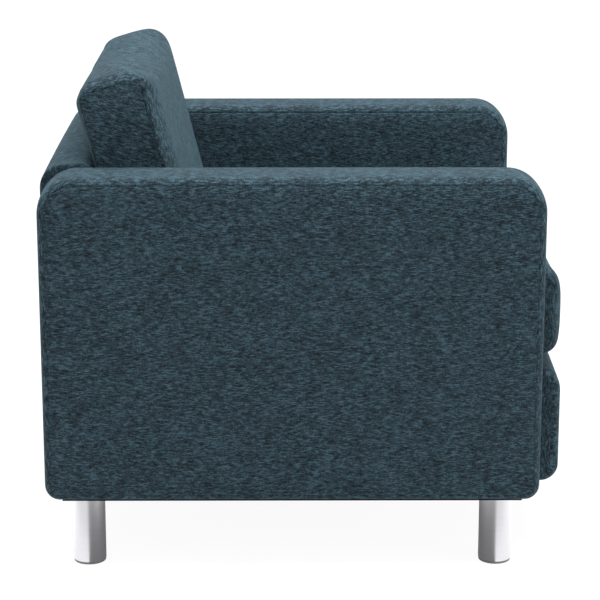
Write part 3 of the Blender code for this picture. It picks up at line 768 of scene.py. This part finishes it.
# %% Filling function
def fill_cover(obj, pressure, fullness, cap):
    """Simulates the cover under pressure, then limits each point's shift to cap * tanh(shift / cap)."""
    scene = bpy.context.scene
    before = coordinates(obj)
    cloth = obj.modifiers.new("filling", "CLOTH")
    settings = cloth.settings
    settings.quality = 5
    settings.use_pressure = True
    settings.uniform_pressure_force = pressure
    settings.shrink_min = -fullness
    settings.effector_weights.gravity = 0.0
    settings.vertex_group_mass = "seams"
    settings.bending_stiffness = 0.3
    cloth.point_cache.frame_start = 1
    cloth.point_cache.frame_end = 20
    for number in range(1, 21):
        scene.frame_set(number)
    puffed = obj.evaluated_get(bpy.context.evaluated_depsgraph_get())
    after = np.zeros(len(puffed.data.vertices) * 3, np.float32)
    puffed.data.vertices.foreach_get("co", after)
    obj.modifiers.remove(cloth)
    scene.frame_set(1)
    shift = after.reshape(-1, 3).astype(float) - before
    far = np.linalg.norm(shift, axis=1, keepdims=True)
    shift *= cap * np.tanh(far / cap) / np.maximum(far, 1e-9)
    set_coordinates(obj, before + shift)
    print(obj.name, "moved up to", round(float(far.max()) * 1000, 1), "mm before the cap")


def pin_seams(obj, corners, x_low, x_high, fit):
    """Weight 1 within the seam's reach, falling to 0 over the next centimetre."""
    middle, half = (x_low + x_high) / 2, (x_high - x_low) / 2 - fit["swell"]
    ring = np.vstack([points for points, _ in outline_sides(corners, (60, 60, 60, 60))])
    out = np.vstack([normals for _, normals in outline_sides(corners, (60, 60, 60, 60))])
    seam = ring - out * tightness(out, fit)[0][:, None]
    points = coordinates(obj)
    group = obj.vertex_groups.new(name="seams")
    near = np.where(np.abs(np.abs(points[:, 0] - middle) - half) < 0.03)[0]
    flat = np.linalg.norm(points[near, None, 1:] - seam[None], axis=-1).min(axis=1)
    distance = np.hypot(flat, np.abs(points[near, 0] - middle) - half)
    weight = np.clip(1 - (distance - SEAM_REACH) / 0.010, 0.0, 1.0)
    for index, value in zip(near[weight > 0].tolist(), weight[weight > 0].tolist()):
        group.add([index], value, "REPLACE")


def cushion(name, corners, x_low, x_high, fit, pressure, fullness, cap, body, replaced):
    """A boxed cover, filled, and smoothed by one subdivision."""
    obj = boxed_cover(name, corners, x_low, x_high, fit)
    pin_seams(obj, corners, x_low, x_high, fit)
    fill_cover(obj, pressure, fullness, cap)
    obj.vertex_groups.clear()
    smooth = obj.modifiers.new("smooth", "SUBSURF")
    smooth.levels = smooth.render_levels = 1
    finish_piece(obj, body, replaced)
    return obj


CUSHION_FIT = {
    "spacing": 0.0075,
    "column": 0.010,
    "swell": 0.004,
    "reach": 0.012,
    "edge_width": 0.024,
    "edge_inset": 0.0150,
    "rear_tight": 0.6,
    "crown": 0.0,
    "seam_depth": 0.0016,
    "front_fade": 0.8,
}

# %% Make the back cushion
low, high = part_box("back_cushion_cover")
FRONT_REF_Y, REAR_REF_Y, REF_Z = 0.2005, 0.3232, 0.6207


def leaning(reference_y, z):
    """Y at height z of the plane through reference_y that leans back by LEAN."""
    return reference_y + slope * (z - REF_Z)


FILL_ROOM = 0.0015  # the cover starts this much inside its solid and swells to fill it
front_y, rear_y = FRONT_REF_Y + FILL_ROOM, REAR_REF_Y - FILL_ROOM
back_bottom, back_rear_top, back_front_top = low[2] + FILL_ROOM, 0.738 - FILL_ROOM, 0.772 - FILL_ROOM
back_corners = (
    (leaning(front_y, back_bottom), back_bottom, 0.024),
    (leaning(rear_y, back_bottom), back_bottom, 0.024),
    (leaning(rear_y, back_rear_top), back_rear_top, 0.026),
    (leaning(front_y, back_front_top), back_front_top, 0.030),
)
back_fit = dict(CUSHION_FIT, weave_turn=LEAN)
back_cushion = cushion(
    "back_cushion",
    back_corners,
    low[0],
    high[0],
    back_fit,
    3.0,
    0.006,
    0.007,
    "back_cushion",
    ["back_cushion_cover", "back_cushion_core"],
)

# %% Make the seat cushion
low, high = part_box("seat_cushion_cover")
SEAT_TOP = 0.460
seat_rear_ref = FRONT_REF_Y - 0.008
seat_corners = (
    (low[1] + FILL_ROOM, low[2] + 0.001, 0.024),
    (leaning(seat_rear_ref, low[2]) - FILL_ROOM, low[2] + 0.001, 0.024),
    (leaning(seat_rear_ref, SEAT_TOP) - FILL_ROOM, SEAT_TOP - FILL_ROOM, 0.026),
    (low[1] + FILL_ROOM, SEAT_TOP - FILL_ROOM, 0.035),
)
seat_cushion = cushion(
    "seat_cushion",
    seat_corners,
    low[0],
    high[0],
    dict(CUSHION_FIT, weave_turn=math.pi / 2),
    3.0,
    0.006,
    0.007,
    "seat_cushion",
    ["seat_cushion_cover", "seat_cushion_core"],
)

# %% [markdown]
# ## Tube legs
# The legs are two inch steel tube, plated in satin chrome, with a nylon glide pressed into the foot. A
# turned piece is a profile of radius and height carried round its axis.

# %% Satin chrome
chrome, tree, shader = finish_named("steel_tube_satin_chrome_plated", Metallic=1.0)
brushed = put(tree, "TexCoord").outputs["Object"]
stretch = put(tree, "Mapping", {"Vector": brushed, "Scale": (1.0, 1.0, 1 / 0.0004)}).outputs[0]
lines = put(tree, "TexNoise", {"Vector": stretch, "Scale": 1.0, "Detail": 3.0}).outputs[0]
smear = put(tree, "TexNoise", {"Vector": brushed, "Scale": 1 / 0.02, "Detail": 2.0}).outputs[0]
rough = put(tree, "MapRange", {0: maths(tree, "MULTIPLY_ADD", smear, 0.4, lines), 3: 0.28, 4: 0.33})
tone = ramp(tree, lines, ((0.3, "#D9D9DD"), (0.7, "#DFDFE2")))
tree.links.new(tone, shader.inputs["Base Color"])
tree.links.new(rough.outputs[0], shader.inputs["Roughness"])
CHROME = chrome

# %% Nylon
nylon, tree, shader = finish_named("nylon_moulded_grey", Roughness=0.55, IOR=1.53)
place = put(tree, "TexCoord").outputs["Object"]
grain = put(tree, "TexNoise", {"Vector": place, "Scale": 1 / 0.0012, "Detail": 3.0}).outputs[0]
tree.links.new(ramp(tree, grain, ((0.3, "#5B5C5E"), (0.7, "#707173"))), shader.inputs["Base Color"])
skin = put(tree, "Bump", {"Height": grain, "Strength": 0.3, "Distance": 0.0001})
tree.links.new(skin.outputs[0], shader.inputs["Normal"])
NYLON = nylon


# %% Turned pieces
def turned(name, profile, centre, material, around=64):
    """Point = centre + (radius * cos a, radius * sin a, height), for each profile point and angle a."""
    radius, height = np.array(profile).T
    angle = np.linspace(0.0, 2 * math.pi, around + 1)
    place = np.empty((len(radius), len(angle), 3))
    place[..., 0] = centre[0] + radius[:, None] * np.cos(angle)
    place[..., 1] = centre[1] + radius[:, None] * np.sin(angle)
    place[..., 2] = centre[2] + height[:, None]
    run = run_length(np.stack([radius, height], axis=1))
    weave = np.empty(place.shape[:2] + (2,))
    weave[..., 0] = radius.max() * angle[None]
    weave[..., 1] = run[:, None]
    obj = mesh_from_grids(name, [(place, weave)], material)
    obj.data.set_sharp_from_angle(angle=math.radians(35))
    return obj


def quarter(centre_radius, centre_height, size, first, last, steps=5):
    """Profile points on a small arc between two angles in degrees."""
    angle = np.radians(np.linspace(first, last, steps))
    return list(zip(centre_radius + size * np.cos(angle), centre_height + size * np.sin(angle)))


TUBE_WALL = 0.0015
LIP = 0.0005
for place_name in ("front", "rear"):
    for hand in ("left", "right"):
        name = place_name + "_" + hand
        low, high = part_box("leg_" + name)
        glide_low, glide_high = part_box("leg_glide_" + name)
        centre = (0.5 * (low[0] + high[0]), 0.5 * (low[1] + high[1]), 0.0)
        outer = 0.5 * (high[0] - low[0])
        bore = outer - TUBE_WALL
        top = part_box("leg_plate_" + name)[0][2] - 0.0003
        stud = 0.005
        tube = [(0.0, high[2]), (stud, high[2]), (stud, top)]
        tube += quarter(outer - LIP, top - LIP, LIP, 90, 0)
        tube += quarter(outer - LIP, low[2] + LIP, LIP, 0, -90)
        tube += [(bore, low[2]), (bore, top - 0.003), (0.0, top - 0.003)]
        leg = turned("tube_leg_" + name, tube, centre, CHROME)
        finish_piece(leg, "chair", ["leg_" + name])
        shoulder = low[2] - 0.0003
        foot = [(0.0, glide_high[2]), (bore - 0.0003, glide_high[2]), (bore - 0.0003, shoulder)]
        foot += quarter(outer - LIP - 0.0006, shoulder - LIP, LIP, 90, 0)
        foot += quarter(outer - 0.0016, 0.0010, 0.0010, 0, -90)
        foot += [(0.0, 0.0)]
        glide = turned("foot_glide_" + name, foot, centre, NYLON)
        finish_piece(glide, "chair", ["leg_glide_" + name])
print("made four legs with their glides")

# %% [markdown]
# ## Floor, lights and camera
# A pale floor and soft light from above and from the front light the chair. The tops are then the brightest
# faces, the sides are lit by the room, and the ends inside the arms fall into shade. Under the chair a
# glowing card, seen only in the chrome, is painted reflection for the legs.

# %% Floor
floor_mesh = bpy.data.meshes.new("floor")
FLOOR_HALF = 60.0
corner = np.array([(-1, -1, 0), (1, -1, 0), (1, 1, 0), (-1, 1, 0)]) * FLOOR_HALF
floor_mesh.from_pydata(corner.tolist(), [], [(0, 1, 2, 3)])
floor = bpy.data.objects.new("floor", floor_mesh)
bpy.context.scene.collection.objects.link(floor)
pale, tree, shader = finish_named("painted_floor_pale", Roughness=0.9, Emission_Strength=0.93)
shader.inputs["Base Color"].default_value = (0.12, 0.12, 0.12, 1.0)
shader.inputs["Emission Color"].default_value = (1.0, 1.0, 1.0, 1.0)
shader.inputs["Specular IOR Level"].default_value = 0.0
floor_mesh.materials.append(pale)

# %% Painted reflection: a glowing card that only the chrome sees
card_mesh = bpy.data.meshes.new("chrome_reflection_card")
CARD_X = 1.6
CARD_Y = 1.2
card_points = [(-CARD_X, -CARD_Y, 0.0004), (CARD_X, -CARD_Y, 0.0004), (CARD_X, CARD_Y, 0.0004)]
card_points.append((-CARD_X, CARD_Y, 0.0004))
card_mesh.from_pydata(card_points, [], [(0, 1, 2, 3)])
card = bpy.data.objects.new("chrome_reflection_card", card_mesh)
bpy.context.scene.collection.objects.link(card)
# Painted reflection: the card emits light, 0.15 between the front and rear leg lines and 0.85 to 1.4 outside them,
# rising from x = -0.55 to -0.16.
dark, tree, shader = finish_named("painted_reflection_glow", Roughness=1.0, Emission_Strength=1.0)
shader.inputs["Base Color"].default_value = (0.01, 0.01, 0.01, 1.0)
place = put(tree, "SeparateXYZ", {0: put(tree, "TexCoord").outputs["Object"]})
leg_line = (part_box("leg_rear_left")[0][1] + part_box("leg_rear_left")[1][1]) / 2
front_line = (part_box("leg_front_left")[0][1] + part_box("leg_front_left")[1][1]) / 2
centre_line, half_line = (leg_line + front_line) / 2, (leg_line - front_line) / 2
off_centre = maths(tree, "ABSOLUTE", maths(tree, "SUBTRACT", place.outputs[1], centre_line))
outside = maths(tree, "GREATER_THAN", off_centre, half_line)
outer_glow = put(tree, "MapRange", {0: place.outputs[0], 1: -0.55, 2: -0.16, 3: 0.85, 4: 1.4}).outputs[0]
glow = maths(tree, "MULTIPLY_ADD", maths(tree, "SUBTRACT", outer_glow, 0.15), outside, 0.15)
grey = put(tree, "CombineColor", {0: glow, 1: glow, 2: glow}).outputs[0]
tree.links.new(grey, shader.inputs["Emission Color"])
card_mesh.materials.append(dark)
# Hidden from the camera and from all but glossy rays, so its glow only paints a bright and a dark band of
# reflection on the chrome legs.
for ray in ("camera", "diffuse", "transmission", "volume_scatter", "shadow"):
    setattr(card, "visible_" + ray, False)


# %% Lights
def soft_box(name, place, target, size, power):
    """A square area light at place that faces target."""
    light = bpy.data.lights.new(name, "AREA")
    light.size = size
    light.energy = power
    obj = bpy.data.objects.new(name, light)
    bpy.context.scene.collection.objects.link(obj)
    aim = np.array(target) - np.array(place)
    obj.location = place
    obj.rotation_mode = "QUATERNION"
    obj.rotation_quaternion = Vector(aim).to_track_quat("-Z", "Y")
    return obj


soft_box("overhead", (0.0, -0.1, 3.4), (0.0, 0.0, 0.4), 2.6, 190.0)
soft_box("front", (-1.6, -3.0, 0.9), (0.0, -0.2, 0.4), 1.6, 20.0)
room = bpy.data.worlds.new("room")
bpy.context.scene.world = room
room.use_nodes = True
room.node_tree.nodes["Background"].inputs["Color"].default_value = (1.0, 1.0, 1.0, 1.0)
room.node_tree.nodes["Background"].inputs["Strength"].default_value = 1.0
bpy.context.scene.view_settings.view_transform = "Standard"

# %% Camera


camera_data = bpy.data.cameras.new("camera")
camera_data.lens = 130.8
camera_data.sensor_width = 36.0
camera = bpy.data.objects.new("camera", camera_data)
bpy.context.scene.collection.objects.link(camera)
camera.location = (-3.522, 0.020, 1.284)
camera.rotation_mode = "QUATERNION"
camera.rotation_quaternion = Vector((1.0, -0.0044, -0.26836)).to_track_quat("-Z", "Y")
bpy.context.scene.camera = camera
